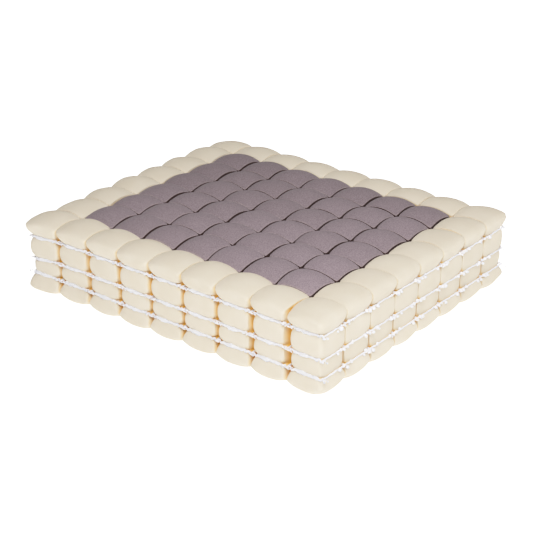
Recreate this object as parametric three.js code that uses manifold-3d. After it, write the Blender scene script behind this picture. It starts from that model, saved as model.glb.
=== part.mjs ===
// A pressure relief seat cushion: 72 upright foam blocks, each standing in one mesh of three knotted nets.
// Every net draws each block in to a waist, so the block swells into a tier between two nets and into a dome
// at its top and bottom. Cream blocks make the outer ring and grey blocks make the core.
// Millimetres, +Z up, the front faces -Y, and the origin is the middle of the underside.
import * as THREE from "three";
import { mergeVertices } from "three/addons/utils/BufferGeometryUtils.js";
import Module from "manifold-3d";

const wasm = await Module();
wasm.setup();

// The grid of blocks
const BLOCKS_ACROSS = 9;
const BLOCKS_DEEP = 8;
const PITCH_X = 50;
const PITCH_Y = 48;
const GAP = 0.3;

// The cords of a net. The cords that run across are thick soft yarn, the ones that run back are thinner.
const YARN_RADIUS = 2.1;
const LACE_RADIUS = 1.6;
const CORD_ROOM = 0.6;
const EDGE_CORD_INSET = 7.3;
const EDGE_GROOVE_ROOM = 1.9;
const INNER_CORD_HALF_WIDTH = 1.4;
const INNER_CORD_THICKNESS = 2;
const KNOT_REACH = 3.5;
const CORD_SIDES = 4;

// Heights above the floor. The rims of the top and the underside run lower, or higher, along the outside.
const NET_HEIGHTS = { low: 23, middle: 45.5, high: 74 };
const BOTTOM_RIM = 6.5;
const TOP_RIM = 93;
const TOP_CROWN = 103.5;
const RIM_ARCH = 5;
const EDGE_RIM_DROP = 2.5;

// A dome is flatter in its middle. The underside is pressed flat there.
const DOME_RING = 0.5;
const DOME_RING_DROP = 2.2;
const REST_RING = 0.42;

// How far a joined block of a grey row swells past the middle of the gap, where the two press together
const ROW_PRESS = 1;

// One row for each level of a block, from the bottom up. z is the height of the level at the block's corners.
// between is how many points a side has between its corners, arch how much higher its middle is than its
// corners, and drop how much lower the free sides are. free is how far a free side stays inside the block's
// cell, freeCorner how much more its corners do, and corner how far a corner stays inside a side that has a
// neighbour. A waist is the square where a net draws the block in, and it leaves room for the net's cords.
// At a pressed level the blocks of a grey row swell into each other. A level marked creamOnly or greyOnly is
// used for blocks of that colour alone, because the free sides of the cream blocks need more of them.
const LEVELS = [
  { z: BOTTOM_RIM, between: 2, arch: -RIM_ARCH, drop: -EDGE_RIM_DROP, free: 0.6, freeCorner: 1.6, corner: 0.8 },
  { z: 14, between: 0, arch: 0, drop: 0, free: 2.4, freeCorner: 0, corner: 0.3, creamOnly: true },
  { z: NET_HEIGHTS.low, waist: true },
  { z: 28, between: 1, arch: 0, drop: 0, free: 5.4, freeCorner: 1.6, corner: 1.6, creamOnly: true },
  { z: 39, between: 1, arch: 0, drop: 0, free: 4.6, freeCorner: 1.6, corner: 1.6 },
  { z: NET_HEIGHTS.middle, waist: true },
  { z: 52, between: 1, arch: 0, drop: 0, free: 3.4, freeCorner: 1.4, corner: 1.6, creamOnly: true },
  { z: 59, pressed: true, greyOnly: true },
  { z: 66.5, between: 1, arch: 0, drop: 0, free: 3.4, freeCorner: 1.4, corner: 1.6, creamOnly: true },
  { z: NET_HEIGHTS.high, waist: true },
  { z: 83, between: 0, arch: 0, drop: 0, free: 2.4, freeCorner: 0, corner: 0.3, creamOnly: true },
  { z: TOP_RIM, between: 2, arch: RIM_ARCH, drop: EDGE_RIM_DROP, free: 0.6, freeCorner: 1.6, corner: 0.8 },
];

const CREAM = new THREE.MeshStandardMaterial({ color: 0xe8dfc9, roughness: 0.95, metalness: 0 });
const GREY = new THREE.MeshStandardMaterial({ color: 0x94888c, roughness: 0.95, metalness: 0 });
const WHITE = new THREE.MeshStandardMaterial({ color: 0xf2f2f5, roughness: 0.9, metalness: 0 });

// The middle of a block's cell
const cellX = (column) => (column - (BLOCKS_ACROSS - 1) / 2) * PITCH_X;
const cellY = (row) => (row - (BLOCKS_DEEP - 1) / 2) * PITCH_Y;

const isEdge = (column, row) =>
  column === 0 || column === BLOCKS_ACROSS - 1 || row === 0 || row === BLOCKS_DEEP - 1;

// Hand-cut foam is never quite even: each dome stands a little higher or lower than the next.
const unevenness = (column, row) => 0.7 * Math.sin(2.4 * column + 1.3) * Math.cos(1.9 * row + 0.4);

// How far a block reaches from its middle towards one side. A side is "free", "meets" a block of another
// piece across the gap, or is "joined" to a block of the same row.
function reachOf(side, half, level, cordRadius) {
  if (level.waist) {
    const room = side === "free" ? EDGE_CORD_INSET + EDGE_GROOVE_ROOM : CORD_ROOM;
    return half - cordRadius - room;
  }
  if (side === "free") return half - level.free;
  if (side === "joined" && level.pressed) return half + ROW_PRESS;
  return half - GAP / 2;
}

// One level of a block, anticlockwise from above: each corner, then the points between it and the next one.
// A level without insets is a plain square.
function ringOf(level, sides, between) {
  const inset = (side) => (side === "free" ? level.freeCorner : level.corner) ?? 0;
  const turn = [sides.right, sides.back, sides.left, sides.front];
  const outward = [
    [1, 0],
    [0, 1],
    [-1, 0],
    [0, -1],
  ];
  const reach = turn.map((side, k) =>
    k % 2 === 0
      ? reachOf(side, PITCH_X / 2, level, LACE_RADIUS)
      : reachOf(side, PITCH_Y / 2, level, YARN_RADIUS),
  );
  const corners = turn.map((side, k) => {
    const before = (k + 3) % 4;
    const ahead = reach[k] - inset(side);
    const behind = reach[before] - inset(turn[before]);
    const low = side === "free" || turn[before] === "free" ? (level.drop ?? 0) : 0;
    return [
      outward[k][0] * ahead + outward[before][0] * behind,
      outward[k][1] * ahead + outward[before][1] * behind,
      level.z - low,
    ];
  });
  return turn.flatMap((side, k) => {
    const [start, end] = [corners[k], corners[(k + 1) % 4]];
    const points = [start];
    for (let n = 1; n <= between; n++) {
      const share = n / (between + 1);
      const rise = (level.arch ?? 0) * 4 * share * (1 - share);
      const out = inset(side);
      points.push([
        start[0] + (end[0] - start[0]) * share + outward[k][0] * out,
        start[1] + (end[1] - start[1]) * share + outward[k][1] * out,
        start[2] + (end[2] - start[2]) * share + rise,
      ]);
    }
    return points;
  });
}

// A smaller copy of a ring, all at one height, for the slope of a dome
function shrunk(ring, share, height) {
  const span = (axis) => ring.map((point) => point[axis]);
  const middle = (values) => (Math.min(...values) + Math.max(...values)) / 2;
  const [middleX, middleY] = [middle(span(0)), middle(span(1))];
  return ring.map(([x, y]) => [middleX + (x - middleX) * share, middleY + (y - middleY) * share, height]);
}

// A closed solid from its points and its triangles
function solidFrom(points, triangles) {
  return new wasm.Manifold(
    new wasm.Mesh({
      numProp: 3,
      vertProperties: new Float32Array(points.flat()),
      triVerts: new Uint32Array(triangles.flat()),
    }),
  );
}

// The triangles between two neighbouring rings, side by side. The side with more points goes ahead.
function band(lower, upper) {
  const triangles = [];
  const at = (ring, n) => ring.first + (n % ring.length);
  const [lowSteps, highSteps] = [lower.length / 4, upper.length / 4];
  for (let side = 0; side < 4; side++) {
    let [low, high] = [0, 0];
    while (low < lowSteps || high < highSteps) {
      const here = [at(lower, side * lowSteps + low), at(upper, side * highSteps + high)];
      if (high === highSteps || (low + 0.5) / lowSteps < (high + 0.5) / highSteps) {
        low += 1;
        triangles.push([here[0], at(lower, side * lowSteps + low), here[1]]);
      } else {
        high += 1;
        triangles.push([here[0], at(upper, side * highSteps + high), here[1]]);
      }
    }
  }
  return triangles;
}

// A closed solid through a stack of rings, with a flat underside and a low pointed crown
function solidThrough(rings, crown) {
  let first = 0;
  for (const ring of rings) {
    ring.first = first;
    first += ring.length;
  }
  const triangles = [];
  for (let r = 0; r + 1 < rings.length; r++) {
    triangles.push(...band(rings[r], rings[r + 1]));
  }
  for (let k = 1; k + 1 < rings[0].length; k++) {
    triangles.push([0, k + 1, k]);
  }
  const last = rings[rings.length - 1];
  for (let k = 0; k < last.length; k++) {
    triangles.push([last.first + k, last.first + ((k + 1) % last.length), first]);
  }
  return solidFrom([...rings.flat(), crown], triangles);
}

// One foam block in its place
function block(column, row, inCore) {
  const across = inCore ? "joined" : "meets";
  const sides = {
    left: column === 0 ? "free" : column === 1 ? "meets" : across,
    right: column === BLOCKS_ACROSS - 1 ? "free" : column === BLOCKS_ACROSS - 2 ? "meets" : across,
    front: row === 0 ? "free" : "meets",
    back: row === BLOCKS_DEEP - 1 ? "free" : "meets",
  };
  const levels = LEVELS.filter((level) => (inCore ? !level.creamOnly : !level.greyOnly));
  const rims = [levels[0], levels[levels.length - 1]];
  const pointsBetween = (level) => {
    if (level.waist || level.pressed) return 0;
    if (!inCore) return level.between;
    return rims.includes(level) ? 1 : 0;
  };
  const rings = levels.map((level) => ringOf(level, sides, pointsBetween(level)));
  const crown = TOP_CROWN + unevenness(column, row);
  const rest = shrunk(ringOf(rims[0], sides, 1), REST_RING, 0);
  const upper = shrunk(ringOf(rims[1], sides, 1), DOME_RING, crown - DOME_RING_DROP);
  const middle = [0, 1].map((axis) => upper.reduce((sum, point) => sum + point[axis], 0) / upper.length);
  return solidThrough([rest, ...rings, upper], [...middle, crown]).translate([cellX(column), cellY(row), 0]);
}

// A three.js geometry's closed solid, in the place that its matrix gives
function solidOf(geometry, matrix) {
  const bare = geometry.clone().applyMatrix4(matrix);
  bare.deleteAttribute("normal");
  bare.deleteAttribute("uv");
  const merged = mergeVertices(bare, 1e-4);
  return new wasm.Manifold(
    new wasm.Mesh({
      numProp: 3,
      vertProperties: new Float32Array(merged.attributes.position.array),
      triVerts: new Uint32Array(merged.index.array),
    }),
  );
}

// The lines of a net: one between every two rows or columns of blocks, and one round the outside,
// drawn in from the edge of the outer cells
function netLines(count, pitch) {
  const half = (count * pitch) / 2;
  return Array.from({ length: count + 1 }, (_, k) => {
    if (k === 0) return -half + EDGE_CORD_INSET;
    if (k === count) return half - EDGE_CORD_INSET;
    return -half + k * pitch;
  });
}

// The inner cords of a net as one flat lattice, with a mesh for each block. The lattice is a chequer of
// strips: every second strip is a cord, and a place where neither strip is a cord stays open.
function lattice(linesX, linesY) {
  const edges = (lines) => [
    lines[0],
    ...lines.slice(1, -1).flatMap((line) => [line - INNER_CORD_HALF_WIDTH, line + INNER_CORD_HALF_WIDTH]),
    lines[lines.length - 1],
  ];
  const [xs, ys] = [edges(linesX), edges(linesY)];
  const half = INNER_CORD_THICKNESS / 2;
  const layer = xs.length * ys.length;
  const low = (i, j) => i * ys.length + j;
  const high = (i, j) => layer + low(i, j);
  const points = [-half, half].flatMap((z) => xs.flatMap((x) => ys.map((y) => [x, y, z])));
  const inside = (i, j) => i >= 0 && j >= 0 && i < xs.length - 1 && j < ys.length - 1;
  const isCord = (i, j) => inside(i, j) && (i % 2 === 1 || j % 2 === 1);
  const triangles = [];
  const quad = (a, b, c, d) => triangles.push([a, b, c], [a, c, d]);
  for (let i = 0; i + 1 < xs.length; i++) {
    for (let j = 0; j + 1 < ys.length; j++) {
      if (!isCord(i, j)) continue;
      quad(high(i, j), high(i + 1, j), high(i + 1, j + 1), high(i, j + 1));
      quad(low(i, j), low(i, j + 1), low(i + 1, j + 1), low(i + 1, j));
      if (!isCord(i, j - 1)) quad(low(i, j), low(i + 1, j), high(i + 1, j), high(i, j));
      if (!isCord(i + 1, j)) quad(low(i + 1, j), low(i + 1, j + 1), high(i + 1, j + 1), high(i + 1, j));
      if (!isCord(i, j + 1)) quad(low(i + 1, j + 1), low(i, j + 1), high(i, j + 1), high(i + 1, j + 1));
      if (!isCord(i - 1, j)) quad(low(i, j + 1), low(i, j), high(i, j), high(i, j + 1));
    }
  }
  const used = [...new Set(triangles.flat())].sort((a, b) => a - b);
  const renumbered = new Map(used.map((point, k) => [point, k]));
  return solidFrom(
    used.map((point) => points[point]),
    triangles.map((triangle) => triangle.map((point) => renumbered.get(point))),
  );
}

// A straight round cord from one point to another
function cordBetween(start, end, radius) {
  const along = new THREE.Vector3().subVectors(end, start);
  const turn = new THREE.Quaternion().setFromUnitVectors(new THREE.Vector3(0, 1, 0), along.clone().normalize());
  const middle = new THREE.Vector3().addVectors(start, end).multiplyScalar(0.5);
  const place = new THREE.Matrix4().compose(middle, turn, new THREE.Vector3(1, 1, 1));
  return solidOf(new THREE.CylinderGeometry(radius, radius, along.length(), CORD_SIDES), place);
}

// One knotted net lying at height zero: its lattice, the cord round its edge and the edge knots
function net() {
  const linesX = netLines(BLOCKS_ACROSS, PITCH_X);
  const linesY = netLines(BLOCKS_DEEP, PITCH_Y);
  const [left, right] = [linesX[0], linesX[linesX.length - 1]];
  const [front, back] = [linesY[0], linesY[linesY.length - 1]];
  let whole = lattice(linesX, linesY);
  for (const y of [front, back]) {
    whole = whole.add(cordBetween(new THREE.Vector3(left, y, 0), new THREE.Vector3(right, y, 0), YARN_RADIUS));
  }
  for (const x of [left, right]) {
    whole = whole.add(cordBetween(new THREE.Vector3(x, front, 0), new THREE.Vector3(x, back, 0), LACE_RADIUS));
  }
  const knot = new THREE.OctahedronGeometry(KNOT_REACH);
  for (const x of linesX) {
    for (const y of linesY) {
      if (x !== left && x !== right && y !== front && y !== back) continue;
      whole = whole.add(solidOf(knot, new THREE.Matrix4().makeTranslation(x, y, 0)));
    }
  }
  return whole;
}

// A solid as a named three.js mesh
function meshOf(name, solid, material) {
  const { vertProperties, triVerts } = solid.getMesh();
  const geometry = new THREE.BufferGeometry();
  geometry.setAttribute("position", new THREE.BufferAttribute(vertProperties, 3));
  geometry.setIndex(new THREE.BufferAttribute(triVerts, 1));
  const mesh = new THREE.Mesh(geometry, material);
  mesh.name = name;
  return mesh;
}

const cushion = new THREE.Group();

// The outer ring: each cream block is a piece of its own
for (let row = 0; row < BLOCKS_DEEP; row++) {
  for (let column = 0; column < BLOCKS_ACROSS; column++) {
    if (!isEdge(column, row)) continue;
    cushion.add(meshOf(`cream_block_${column + 1}_${row + 1}`, block(column, row, false), CREAM));
  }
}

// The core: the grey blocks of a row press together and make one piece
for (let row = 1; row < BLOCKS_DEEP - 1; row++) {
  let blocks = block(1, row, true);
  for (let column = 2; column < BLOCKS_ACROSS - 1; column++) {
    blocks = blocks.add(block(column, row, true));
  }
  cushion.add(meshOf(`grey_row_${row + 1}`, blocks, GREY));
}

// The three nets
const flatNet = net();
for (const [name, height] of Object.entries(NET_HEIGHTS)) {
  const mesh = meshOf(`net_${name}`, flatNet, WHITE);
  mesh.position.z = height;
  cushion.add(mesh);
}

export default cushion;
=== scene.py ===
# %% [markdown]
# This script finishes a pressure relief cushion: 72 upright foam blocks that stand side by side, each in one
# mesh of three knotted nets. The outer ring is cream foam and the core is grey foam. The frame is the packed
# set of plain solids. It gives every block and net its true place and size, and the finished pieces are made
# to it.

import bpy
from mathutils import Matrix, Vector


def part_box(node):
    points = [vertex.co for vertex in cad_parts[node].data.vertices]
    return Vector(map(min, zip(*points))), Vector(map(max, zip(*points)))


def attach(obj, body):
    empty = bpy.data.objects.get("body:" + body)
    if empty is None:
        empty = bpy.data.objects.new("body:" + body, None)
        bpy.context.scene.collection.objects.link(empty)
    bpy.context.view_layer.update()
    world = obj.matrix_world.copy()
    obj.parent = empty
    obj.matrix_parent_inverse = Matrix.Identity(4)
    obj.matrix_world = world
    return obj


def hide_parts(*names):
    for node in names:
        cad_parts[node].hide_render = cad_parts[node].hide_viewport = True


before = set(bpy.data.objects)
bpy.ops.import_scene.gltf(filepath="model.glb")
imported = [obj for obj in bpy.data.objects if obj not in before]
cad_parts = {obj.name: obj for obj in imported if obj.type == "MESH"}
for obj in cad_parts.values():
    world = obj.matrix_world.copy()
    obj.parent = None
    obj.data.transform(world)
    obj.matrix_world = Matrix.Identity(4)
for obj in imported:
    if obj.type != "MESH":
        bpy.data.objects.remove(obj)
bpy.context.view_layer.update()        # the plain solids, in metres, standing where the finished cushion stands
print(len(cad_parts), "solids")

# %% [markdown]
# Blender has its own mesh editor, bmesh, and numpy moves thousands of points with one formula. The sizes of
# the cushion are written in millimetres, as a foam cutter would, and one factor turns them into metres. A
# small helper turns metres back for the lines that the steps print.

# %% Tools and units
import math
import random
from collections import namedtuple
from types import SimpleNamespace

import bmesh
import bpy
import numpy as np
from mathutils import Matrix, Vector

MM = 0.001


def in_mm(metres):
    """One length, or an array of them, in millimetres."""
    return np.round(np.array(metres) / MM, 1).tolist()


print("one metre is", in_mm(1), "millimetres")

# %% [markdown]
# The camera comes first, because it says which sides are seen closest. It stands off the right front corner
# and looks down at about 25 degrees, with a long lens, so that the edges stay nearly parallel. Its place and
# its angles were worked out from the corners of the blocks.

# %% Set up the camera
def in_scene(data):
    """A new object with this data and its name."""
    made = bpy.data.objects.new(data.name, data)
    bpy.context.scene.collection.objects.link(made)
    return made


CAMERA_PLACE = Vector((981.9, -1233.8, 751.6)) * MM
CAMERA_TURN = math.radians(38.56)
CAMERA_TILT = math.radians(24.73)
CAMERA_LENS = 94.07

camera_data = bpy.data.cameras.new("camera")
camera_data.lens = CAMERA_LENS
camera = in_scene(camera_data)
camera.location = CAMERA_PLACE
camera.rotation_euler = (math.pi / 2 - CAMERA_TILT, 0, CAMERA_TURN)
bpy.context.scene.camera = camera
print("the camera is", round(CAMERA_PLACE.length, 2), "m away")

# %% [markdown]
# The blocks stand in a grid, and the nets lie level at three heights. Both are read from the solids: two
# neighbouring blocks give the pitch, and the middle of each net's box gives its height. Columns count from
# the left and rows from the front.

# %% Read the grid and the nets
def middle_of(node):
    low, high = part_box(node)
    return (low + high) / 2


def cell_middle(column, row):
    """The middle of a block's cell. Columns and rows are counted from 0."""
    return (column - (COLUMNS - 1) / 2) * PITCH_X, (row - (ROWS - 1) / 2) * PITCH_Y


cream_nodes = [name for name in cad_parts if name.startswith("cream_block_")]
COLUMNS = max(int(name.split("_")[2]) for name in cream_nodes)
ROWS = max(int(name.split("_")[3]) for name in cream_nodes)
PITCH_X = round(middle_of("cream_block_5_1").x - middle_of("cream_block_4_1").x, 4)
PITCH_Y = round(middle_of("cream_block_1_5").y - middle_of("cream_block_1_4").y, 4)
HALF_X, HALF_Y = HALVES = (PITCH_X / 2, PITCH_Y / 2)
AXES = {"left": (0, -1), "right": (0, 1), "front": (1, -1), "back": (1, 1)}   # 0 across or 1 back, and sign
NETS = {name: round(middle_of(f"net_{name}").z, 4) for name in ("low", "middle", "high")}
print("grid", COLUMNS, "by", ROWS, "pitch", PITCH_X, PITCH_Y, "nets at", NETS)

# %% [markdown]
# Every block is cut from the same square bar, so one plain cube is made and its copies are shaped. It needs
# many level rings where a net draws it in and beside its rims, and few in between. Subdividing gives even
# steps, and a sine crowds them towards the ends of each stretch between nets. The sides of the grey blocks
# are hidden, so half as many rings will do there.

# %% Cut a plain block with crowded rings
TOP = 100 * MM
STRETCH_ENDS = np.array([0, NETS["low"], NETS["middle"], NETS["high"], TOP])
STRETCHES = len(STRETCH_ENDS) - 1
CROWDING_UP = 0.93
CROWDING_ACROSS = 0.88
STEPS_ACROSS = 20
STEPS_PER_STRETCH = {"cream": 13, "grey": 6}


def crowded(share, crowding):
    """Makes even steps from -1 to 1 crowd towards both ends."""
    quarter = crowding * math.pi / 2
    return np.sin(share * quarter) / math.sin(quarter)


def mesh_from(shape, name):
    """A mesh with the form of a bmesh, which is freed."""
    mesh = bpy.data.meshes.new(name)
    shape.to_mesh(mesh)
    shape.free()
    return mesh


def points_of(mesh):
    """The points of a mesh, one row for each."""
    points = np.empty(len(mesh.vertices) * 3)
    mesh.vertices.foreach_get("co", points)
    return points.reshape(-1, 3)


def plain_block(foam):
    """A cube from -1 to 1 whose sides are cut into a grid, as a mesh."""
    shape = bmesh.new()
    bmesh.ops.create_cube(shape, size=2)
    level = [edge for edge in shape.edges if abs(edge.verts[0].co.z - edge.verts[1].co.z) < 1]
    bmesh.ops.subdivide_edges(shape, edges=level, cuts=STEPS_ACROSS - 1, use_grid_fill=True)
    upright = [edge for edge in shape.edges if abs(edge.verts[0].co.z - edge.verts[1].co.z) > 1]
    rings = STEPS_PER_STRETCH[foam] * STRETCHES - 1
    bmesh.ops.subdivide_edges(shape, edges=upright, cuts=rings, use_grid_fill=True)
    return mesh_from(shape, f"plain_{foam}_block")


def rest_points(mesh):
    """The points of a plain block before it is laced."""
    even = points_of(mesh)
    place = (even[:, 2] + 1) / 2 * STRETCHES
    stretch = np.minimum(place.astype(int), STRETCHES - 1)
    local = (crowded(2 * (place - stretch) - 1, CROWDING_UP) + 1) / 2
    up = STRETCH_ENDS[stretch] + local * (STRETCH_ENDS[stretch + 1] - STRETCH_ENDS[stretch])
    across = crowded(even[:, 0], CROWDING_ACROSS) * HALF_X
    back = crowded(even[:, 1], CROWDING_ACROSS) * HALF_Y
    return np.stack([across, back, up], axis=1)


plain_blocks = {foam: plain_block(foam) for foam in STEPS_PER_STRETCH}
print("faces of a plain block", {foam: len(mesh.polygons) for foam, mesh in plain_blocks.items()})

# %% [markdown]
# The four sides of the real cushion aren't alike. Along the front and the back the net's edge is thick yarn,
# so its groove is wide and the blocks bow round it, with wide openings between them. Along the right it is
# thin lace that lies nearly flush, and the faces stay flat and close. One row for each side keeps its sizes:
# how far a seam opens, its width at a knot, how much tiers, rims and waists bow back at their corners, the
# groove of the cord and its depth, the drop, the arch and the rounding of the rim, and that of the edges
# beside a seam.

# %% A table for the four sides
SIZES = "opening pinch tier_bow rim_bow waist_bow groove cord_inset rim_drop rim_arch rim_round edge_round"
Side = namedtuple("Side", SIZES)
SIDES = {
    "front": (3.0, 6.6, 1.3, 1.2, 2.4, 1.3, 6.7, 2.5, 4.0, 4.0, 1.3),
    "back": (2.6, 6.6, 1.3, 1.2, 2.4, 1.3, 6.7, 3.2, 4.2, 2.6, 1.3),
    "left": (1.8, 6.0, 0.9, 1.2, 2.0, 1.0, 6.2, 2.5, 5.0, 2.4, 1.0),
    "right": (0.5, 3.3, 0.3, 0.5, 2.0, 0.8, 3.6, 0.4, 1.6, 8.0, 0.5),
}
SIDES = {side: Side(*(size * MM for size in sizes)) for side, sizes in SIDES.items()}
print("the edge cord is drawn in by", {side: in_mm(size.cord_inset) for side, size in SIDES.items()}, "mm")

# %% [markdown]
# Foam is cut with a hot wire or a saw, so its edges are crisp, but a laced block rolls its free rims over a
# little. A bevel would add faces along each edge and lose the even grid. Instead, each point beside an edge
# has two distances, one from each face, and pulling both onto an arc rounds the edge with its own radius.

# %% Round the edges of a block
OUTER_CORNER_ROUND = 4.0 * MM
MEETING_RIM_ROUND = {"cream": 1.0 * MM, "grey": 0.8 * MM}


def pulled_round(first, second, radius):
    """A point's two distances from the faces beside an edge, once that edge is rounded."""
    near = (first < radius) & (second < radius)
    in_first, in_second = radius - first, radius - second
    shrink = np.maximum(in_first, in_second) / np.maximum(np.hypot(in_first, in_second), 1e-9)
    return (
        np.where(near, radius - in_first * shrink, first),
        np.where(near, radius - in_second * shrink, second),
    )


def rounded(points, block):
    """Rounds the four upright edges of a block, then its rims."""
    across, back, up = points.T.copy()
    for x_side, x_sign in (("left", -1), ("right", 1)):
        for y_side, y_sign in (("front", -1), ("back", 1)):
            outer = block.free[x_side] and block.free[y_side]
            beside = x_side if block.free[x_side] else y_side
            radius = OUTER_CORNER_ROUND if outer else SIDES[beside].edge_round
            from_x, from_y = pulled_round(HALF_X - x_sign * across, HALF_Y - y_sign * back, radius)
            across = x_sign * (HALF_X - from_x)
            back = y_sign * (HALF_Y - from_y)
    level = [across, back]
    for side, (axis, sign) in AXES.items():
        radius = SIDES[side].rim_round if block.free[side] else MEETING_RIM_ROUND[block.foam]
        inward = HALVES[axis] - sign * level[axis]
        inward, below = pulled_round(inward, TOP - up, radius)
        inward, up = pulled_round(inward, TOP - below, radius)
        level[axis] = sign * (HALVES[axis] - inward)
    return (*level, up)


cut_back = np.hypot(*pulled_round(0, 0, OUTER_CORNER_ROUND))
print("rounding takes", in_mm(cut_back), "mm off an outer corner")


# %% [markdown]
# A laced block is drawn in at each net and swells in between. Its pull is 1 at a net, and 0 in the middle of
# a stretch or at a rim. A side's inset runs from its open value to its waist as a power of the pull. A high
# power gives the broad flat face of a pillow, a low one the bow of its corners, and the edge cord presses a
# round groove into the waist.

# %% How far a free side stays inside its cell
TIER_INSET = np.array([0.6, 4.9, 3.5, 0.6]) * MM
WAIST_BEHIND_CORD = 1.0 * MM
FLATNESS = {"front": (4.0, 2.2), "back": (4.0, 2.2), "left": (6.0, 3.0), "right": (9.0, 7.0)}
RIM_FLATNESS = {"front": (3.2, 1.9), "back": (3.2, 1.9), "left": (3.2, 1.9), "right": (2.3, 2.2)}
BOW_POWER = 5
CORNER_POWER = 4


def lacing(up):
    """The stretch between two nets that each point is in, and how strongly it is drawn in."""
    stretch = np.clip(np.searchsorted(STRETCH_ENDS, up, side="right") - 1, 0, STRETCHES - 1)
    low, high = STRETCH_ENDS[stretch], STRETCH_ENDS[stretch + 1]
    share = (up - low) / (high - low)
    between = np.abs(2 * share - 1)
    pull = np.where(stretch == 0, share, np.where(stretch == STRETCHES - 1, 1 - share, between))
    nearest = np.min([np.abs(up - height) for height in NETS.values()], axis=0)
    at_end = (stretch == 0) | (stretch == STRETCHES - 1)
    return SimpleNamespace(stretch=stretch, pull=np.clip(pull, 0, 1), from_net=nearest, at_end=at_end)


def blended(start, end, share):
    return start + (end - start) * share


def free_inset(side, along, laced):
    """The inset of a free side at places along it from -1 to 1."""
    size = SIDES[side]
    corner = np.abs(along) ** BOW_POWER
    opened = TIER_INSET[laced.stretch] + np.where(laced.at_end, size.rim_bow, size.tier_bow) * corner
    broad, bowed = np.where(laced.at_end[:, None], RIM_FLATNESS[side], FLATNESS[side]).T
    power = blended(broad, bowed, np.abs(along) ** CORNER_POWER)
    waist = size.cord_inset + WAIST_BEHIND_CORD + size.waist_bow * corner
    inset = blended(opened, waist, laced.pull**power)
    depth = np.sqrt(np.maximum(size.groove**2 - laced.from_net**2, 0))
    return np.where(depth > 0, np.maximum(inset, size.cord_inset + depth), inset)


waist = free_inset("front", np.zeros(1), lacing(np.array([NETS["high"]])))
print("at a net a front face is drawn in by", in_mm(waist), "mm")


# %% [markdown]
# Where two blocks meet, their walls press together. Beside the outer face they part, because the knot holds
# both corners in: a slender opening narrows inwards, with a wider hole above and below the knot. The openings
# are widest on the front, and on the right in the tier above the lowest net. The top rims of the grey blocks
# stand a hair apart, so a dark line shows.

# %% How far a meeting side stays inside its cell
WALL_GAP = 0.06 * MM
LOW_TIER = 1
LOW_TIER_OPENING = {"front": 1, "back": 1, "left": 1, "right": 2.6}
SEAM_DEPTH = 9.5 * MM
INNER_WAIST = 2.4 * MM
KNOT_REACH = 6.5 * MM
RIM_PIT = 0.8 * MM
RIM_PIT_REACH = 2.4 * MM
RIM_PARTING = {"front": 0.25, "back": 0.25, "left": 0.15, "right": 0}
MEETING_POWER = 4.0
SEAM_BOW_POWER = 3.0
SEAM_RIM_POWER = 2.0
RIM_SLIT = {"cream": (0.04 * MM, 0.04 * MM), "grey": (0.95 * MM, 0.26 * MM)}   # across and back
SLIT_TAPER = 0.12


def ends_of(side):
    """The two sides that this side runs between."""
    return [end for end in AXES if AXES[end][0] != AXES[side][0]]


def meeting_inset(block, side, along, laced):
    """The inset of a side that meets a neighbour."""
    axis = AXES[side][0]
    beside_grey = block.foam == "grey" or side in block.grey_sides
    slit = RIM_SLIT["grey" if beside_grey else "cream"][axis]
    opened = WALL_GAP + slit * block.slit[side] * (1 - SLIT_TAPER * along) * laced.at_end
    waist = np.full_like(along, INNER_WAIST)
    bow = np.zeros_like(along)
    for end in ends_of(side):
        from_end = (1 - AXES[end][1] * along) * HALVES[1 - axis]
        opened = opened + RIM_PIT * np.exp(-((from_end / RIM_PIT_REACH) ** 2)) * laced.at_end
        if block.free[end]:
            low_tier = np.where(laced.stretch == LOW_TIER, LOW_TIER_OPENING[end] * block.low_tier[side], 1)
            opening = SIDES[end].opening * block.opening[side] * low_tier
            seam_reach = SEAM_DEPTH * max(1, block.opening[side])
            parting = np.clip(1 - (from_end / seam_reach) ** 2, 0, 1)
            opened = opened + opening * parting * np.where(laced.at_end, RIM_PARTING[end], 1)
            near_knot = np.exp(-((from_end / KNOT_REACH) ** 2))
            waist = blended(waist, SIDES[end].pinch, near_knot)
            bow = np.maximum(bow, near_knot)
    bowed = np.where(laced.at_end, SEAM_RIM_POWER, SEAM_BOW_POWER)
    return blended(opened, waist, laced.pull ** blended(MEETING_POWER, bowed, bow))


print("a plain seam opens by", {side: in_mm(2 * size.opening) for side, size in SIDES.items()}, "mm")


# %% [markdown]
# A block's rims run lower along the outside of the cushion, and each rises in an arch between its corners.
# The arches of both directions add up to the dome. The corners of the core stand a little higher than those
# of the ring, and dip where its front and its right begin. Each left rim arches a little less than the right
# rim beside it, which leaves a fine step, as on the real one. The underside is the same form upside down,
# pressed flat by the floor.

# %% Domes and underside
TOP_RIM = 93 * MM
BOTTOM_RIM = 6.5 * MM
BOTTOM_SHARE = 0.45
BOTTOM_ARCH = 5.0 * MM
RIM_ARCH = 4.8 * MM
LEFT_STEP = {"cream": 0.3 * MM, "grey": 0.8 * MM}
RING_LEFT_STEP = 1.0 * MM
RING_DIP = 2.0 * MM
CORE_RISE = 1.0 * MM
FLOOR_SOFTNESS = 1.4 * MM


def inner_rise(block, x_sign, y_sign):
    """How much a corner inside the cushion stands above or below the plain rim."""
    line_x = block.column + (x_sign + 1) // 2
    line_y = block.row + (y_sign + 1) // 2
    if line_x in (0, COLUMNS) or line_y in (0, ROWS):
        return 0
    if line_x == COLUMNS - 1 or line_y == 1:
        return -RING_DIP
    return 0 if line_x == 1 or line_y == ROWS - 1 else CORE_RISE


def corner_blend(u, v, heights):
    """A height between four corners, from the height of each."""
    return sum(
        height * (1 + x_sign * u) * (1 + y_sign * v) / 4
        for (x_sign, y_sign), height in heights.items()
    )


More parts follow.
